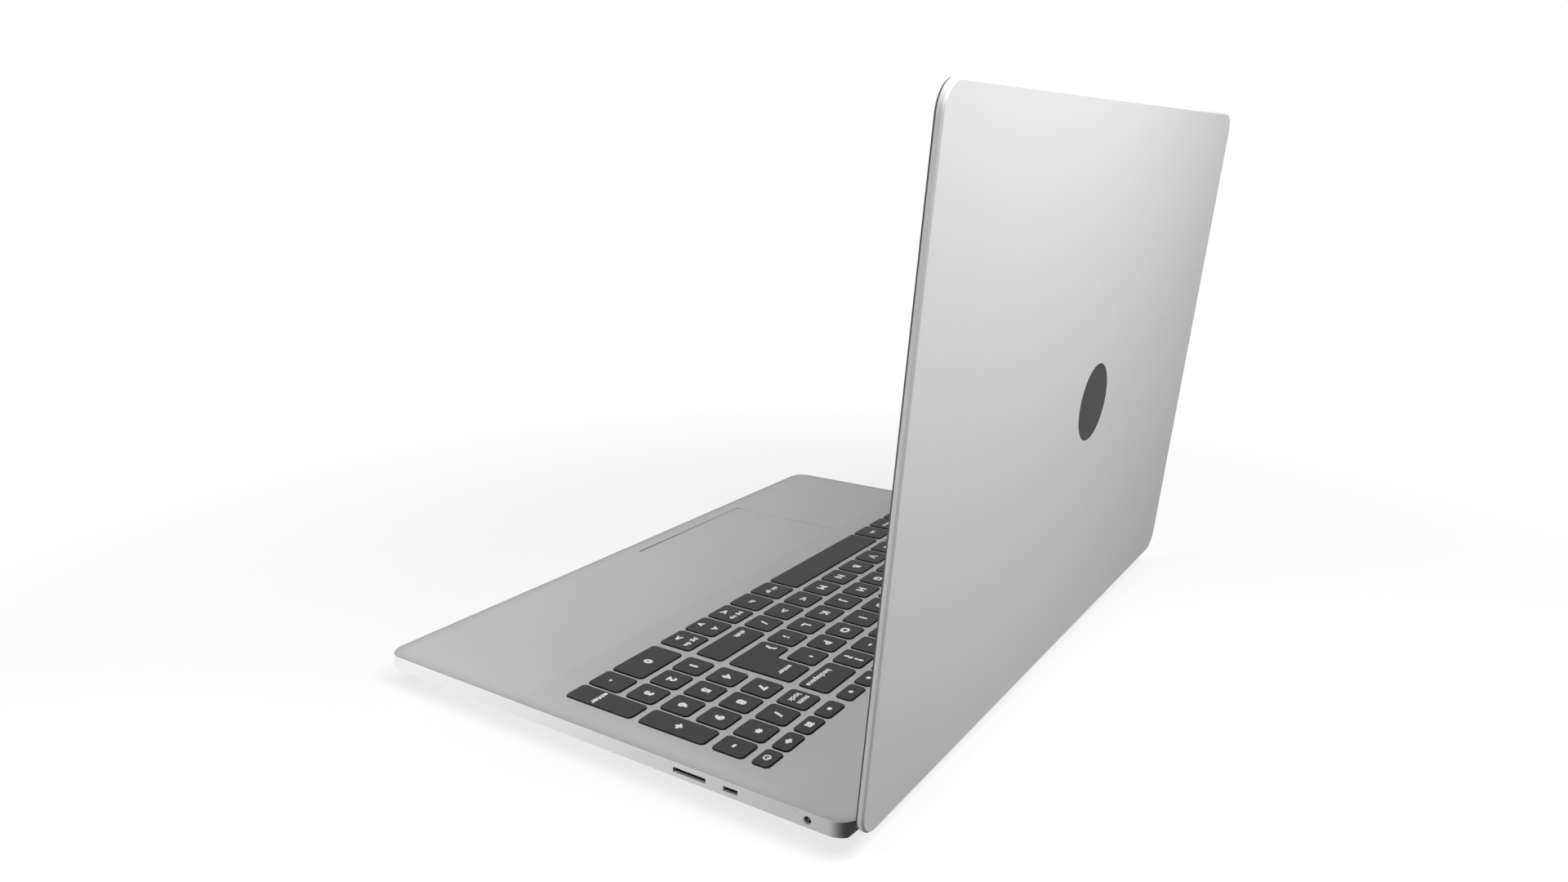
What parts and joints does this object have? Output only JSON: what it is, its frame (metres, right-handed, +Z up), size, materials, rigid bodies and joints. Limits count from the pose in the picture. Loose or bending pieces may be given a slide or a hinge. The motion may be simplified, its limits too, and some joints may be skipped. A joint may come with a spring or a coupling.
{
  "type": "laptop computer",
  "caption": "Open silver laptop computer with a wide keyboard and number pad, offset touchpad, hinged screen lid with a plain round badge, and side sockets.",
  "frame": {"origin": "on the desk, under the middle of the bounding box of the open machine", "axes": "+X to the user's right along the width, +Y from the user to the rear, +Z up"},
  "size_m": [0.376, 0.2915, 0.2755],
  "materials": {
    "silver_metal": "fine bead-blasted silver",
    "cover_silver": "satin silver paint",
    "key_black": "matt",
    "dome_rubber": "translucent grey",
    "steel": "plain",
    "bezel_black": "satin",
    "screen_glass": "dark, switched off",
    "camera_black": "glossy",
    "badge_grey": "dark grey",
    "pad_rubber": "matt",
    "jack_black": "satin",
    "battery_black": "matt wrap",
    "board_green": "satin",
    "chip_grey": "polished",
    "copper": "plain",
    "fin_metal": "plain",
    "fan_black": "satin"
  },
  "bodies": {
    "base": {"audio_jack": "jack_black", "battery_pack": "battery_black", "bottom_cover": "cover_silver", "card_reader": "steel", "case_screws": "steel", "fan_housing": "fan_black", "fin_stack": "fin_metal", "foot_front_left": "pad_rubber", "foot_front_right": "pad_rubber", "foot_rear": "pad_rubber", "heat_pipe": "copper", "hinge_mount_left": "steel", "hinge_mount_right": "steel", "key_domes": "dome_rubber", "keyboard_plate": "steel", "lock_plate": "steel", "mainboard": "board_green", "memory_module": "board_green", "power_jack": "jack_black", "processor": "chip_grey", "speaker_left": "fan_black", "speaker_right": "fan_black", "storage_module": "board_green", "top_case": "silver_metal", "touchpad_bracket": "steel", "usb_port_front": "steel", "usb_port_rear": "steel", "wireless_card": "board_green"},
    "lid": {"lid_cover": "silver_metal", "lid_bezel": "bezel_black", "display_panel": "screen_glass", "camera_module": "camera_black", "lid_badge": "badge_grey", "lid_bumpers": "pad_rubber", "hinge_arm_left": "steel", "hinge_arm_right": "steel"},
    "fan": {"fan_impeller": "fan_black"},
    "touchpad": {"touchpad": "silver_metal"},
    "space_bar": {"space_bar": "key_black"},
    "modifier_keys": {"modifier_keys": "key_black"},
    "right_arrow_key": {"right_arrow_key": "key_black"},
    "vertical_arrow_key": {"vertical_arrow_key": "key_black"},
    "left_arrow_key": {"left_arrow_key": "key_black"},
    "lower_letter_keys": {"lower_letter_keys": "key_black"},
    "left_shift_key": {"left_shift_key": "key_black"},
    "right_shift_key": {"right_shift_key": "key_black"},
    "home_letter_keys": {"home_letter_keys": "key_black"},
    "caps_lock_key": {"caps_lock_key": "key_black"},
    "enter_key": {"enter_key": "key_black"},
    "upper_letter_keys": {"upper_letter_keys": "key_black"},
    "tab_key": {"tab_key": "key_black"},
    "number_keys": {"number_keys": "key_black"},
    "backspace_key": {"backspace_key": "key_black"},
    "function_keys": {"function_keys": "key_black"},
    "power_key": {"power_key": "key_black"},
    "numpad_keys": {"numpad_keys": "key_black"},
    "numpad_zero_key": {"numpad_zero_key": "key_black"},
    "numpad_plus_key": {"numpad_plus_key": "key_black"},
    "numpad_enter_key": {"numpad_enter_key": "key_black"}
  },
  "joints": [
    {"name": "lid_hinge", "type": "hinge", "parent": "base", "child": "lid", "pos_m": [0, 0.11677, 0.0143], "axis": [1, 0, 0], "range_deg": [-34.9, 95.1]},
    {"name": "fan_spin", "type": "hinge", "parent": "base", "child": "fan", "pos_m": [-0.08, 0.06402, 0.0086], "axis": [0, 0, 1], "continuous": true},
    {"name": "touchpad_press", "type": "hinge", "parent": "base", "child": "touchpad", "pos_m": [-0.0418, -0.05898, 0.014], "axis": [1, 0, 0], "range_deg": [0, 0.45], "stiffness_Nm_per_rad": 14, "springref_deg": -0.23},
    {"name": "space_bar_press", "type": "slide", "parent": "base", "child": "space_bar", "axis": [0, 0, 1], "range_m": [-0.0013, 0], "stiffness_N_per_m": 430, "springref_m": 0.0005, "deforming": ["key_domes"]},
    {"name": "modifier_keys_press", "type": "slide", "parent": "base", "child": "modifier_keys", "axis": [0, 0, 1], "range_m": [-0.0013, 0], "stiffness_N_per_m": 2580, "springref_m": 0.0005, "deforming": ["key_domes"]},
    {"name": "right_arrow_key_press", "type": "slide", "parent": "base", "child": "right_arrow_key", "axis": [0, 0, 1], "range_m": [-0.0013, 0], "stiffness_N_per_m": 430, "springref_m": 0.0005, "deforming": ["key_domes"]},
    {"name": "vertical_arrow_key_press", "type": "slide", "parent": "base", "child": "vertical_arrow_key", "axis": [0, 0, 1], "range_m": [-0.0013, 0], "stiffness_N_per_m": 430, "springref_m": 0.0005, "deforming": ["key_domes"]},
    {"name": "left_arrow_key_press", "type": "slide", "parent": "base", "child": "left_arrow_key", "axis": [0, 0, 1], "range_m": [-0.0013, 0], "stiffness_N_per_m": 430, "springref_m": 0.0005, "deforming": ["key_domes"]},
    {"name": "lower_letter_keys_press", "type": "slide", "parent": "base", "child": "lower_letter_keys", "axis": [0, 0, 1], "range_m": [-0.0013, 0], "stiffness_N_per_m": 4730, "springref_m": 0.0005, "deforming": ["key_domes"]},
    {"name": "left_shift_key_press", "type": "slide", "parent": "base", "child": "left_shift_key", "axis": [0, 0, 1], "range_m": [-0.0013, 0], "stiffness_N_per_m": 430, "springref_m": 0.0005, "deforming": ["key_domes"]},
    {"name": "right_shift_key_press", "type": "slide", "parent": "base", "child": "right_shift_key", "axis": [0, 0, 1], "range_m": [-0.0013, 0], "stiffness_N_per_m": 430, "springref_m": 0.0005, "deforming": ["key_domes"]},
    {"name": "home_letter_keys_press", "type": "slide", "parent": "base", "child": "home_letter_keys", "axis": [0, 0, 1], "range_m": [-0.0013, 0], "stiffness_N_per_m": 4300, "springref_m": 0.0005, "deforming": ["key_domes"]},
    {"name": "caps_lock_key_press", "type": "slide", "parent": "base", "child": "caps_lock_key", "axis": [0, 0, 1], "range_m": [-0.0013, 0], "stiffness_N_per_m": 430, "springref_m": 0.0005, "deforming": ["key_domes"]},
    {"name": "enter_key_press", "type": "slide", "parent": "base", "child": "enter_key", "axis": [0, 0, 1], "range_m": [-0.0013, 0], "stiffness_N_per_m": 430, "springref_m": 0.0005, "deforming": ["key_domes"]},
    {"name": "upper_letter_keys_press", "type": "slide", "parent": "base", "child": "upper_letter_keys", "axis": [0, 0, 1], "range_m": [-0.0013, 0], "stiffness_N_per_m": 4730, "springref_m": 0.0005, "deforming": ["key_domes"]},
    {"name": "tab_key_press", "type": "slide", "parent": "base", "child": "tab_key", "axis": [0, 0, 1], "range_m": [-0.0013, 0], "stiffness_N_per_m": 430, "springref_m": 0.0005, "deforming": ["key_domes"]},
    {"name": "number_keys_press", "type": "slide", "parent": "base", "child": "number_keys", "axis": [0, 0, 1], "range_m": [-0.0013, 0], "stiffness_N_per_m": 5590, "springref_m": 0.0005, "deforming": ["key_domes"]},
    {"name": "backspace_key_press", "type": "slide", "parent": "base", "child": "backspace_key", "axis": [0, 0, 1], "range_m": [-0.0013, 0], "stiffness_N_per_m": 430, "springref_m": 0.0005, "deforming": ["key_domes"]},
    {"name": "function_keys_press", "type": "slide", "parent": "base", "child": "function_keys", "axis": [0, 0, 1], "range_m": [-0.0013, 0], "stiffness_N_per_m": 8600, "springref_m": 0.0005, "deforming": ["key_domes"]},
    {"name": "power_key_press", "type": "slide", "parent": "base", "child": "power_key", "axis": [0, 0, 1], "range_m": [-0.0013, 0], "stiffness_N_per_m": 430, "springref_m": 0.0005, "deforming": ["key_domes"]},
    {"name": "numpad_keys_press", "type": "slide", "parent": "base", "child": "numpad_keys", "axis": [0, 0, 1], "range_m": [-0.0013, 0], "stiffness_N_per_m": 6020, "springref_m": 0.0005, "deforming": ["key_domes"]},
    {"name": "numpad_zero_key_press", "type": "slide", "parent": "base", "child": "numpad_zero_key", "axis": [0, 0, 1], "range_m": [-0.0013, 0], "stiffness_N_per_m": 430, "springref_m": 0.0005, "deforming": ["key_domes"]},
    {"name": "numpad_plus_key_press", "type": "slide", "parent": "base", "child": "numpad_plus_key", "axis": [0, 0, 1], "range_m": [-0.0013, 0], "stiffness_N_per_m": 430, "springref_m": 0.0005, "deforming": ["key_domes"]},
    {"name": "numpad_enter_key_press", "type": "slide", "parent": "base", "child": "numpad_enter_key", "axis": [0, 0, 1], "range_m": [-0.0013, 0], "stiffness_N_per_m": 430, "springref_m": 0.0005, "deforming": ["key_domes"]}
  ]
}
